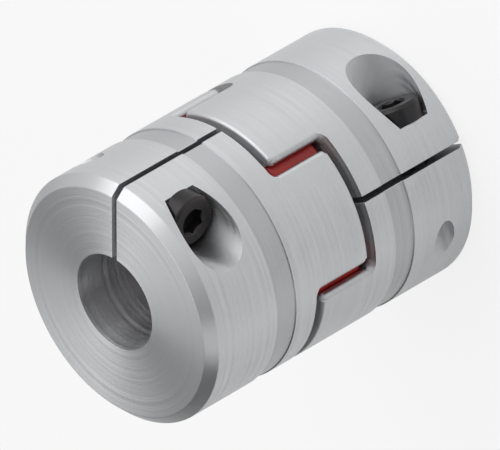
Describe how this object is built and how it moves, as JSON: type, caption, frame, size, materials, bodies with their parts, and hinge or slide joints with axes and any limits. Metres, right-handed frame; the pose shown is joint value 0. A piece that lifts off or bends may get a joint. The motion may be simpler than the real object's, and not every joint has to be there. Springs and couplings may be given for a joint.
{
  "type": "shaft coupling",
  "caption": "Flexible jaw coupling that joins shaft ends: slotted clamping hubs with curved jaws interlock around an elastomer spider, each drawn tight by a socket screw.",
  "frame": {"origin": "on the coupling axis, at the lower hub's end face, on which the coupling stands", "axes": "+Z along the coupling axis to the upper hub's end face; +Y through the upper hub's clamp slit"},
  "size_m": [0.065, 0.065, 0.09],
  "materials": {
    "hub_aluminium": "turned, natural",
    "spider_elastomer": "moulded polyurethane, satin",
    "screw_steel": "black oxide"
  },
  "bodies": {
    "root": {"upper_hub": "hub_aluminium", "lower_hub": "hub_aluminium", "spider": "spider_elastomer", "upper_clamp_screw": "screw_steel", "lower_clamp_screw": "screw_steel"}
  },
  "joints": []
}
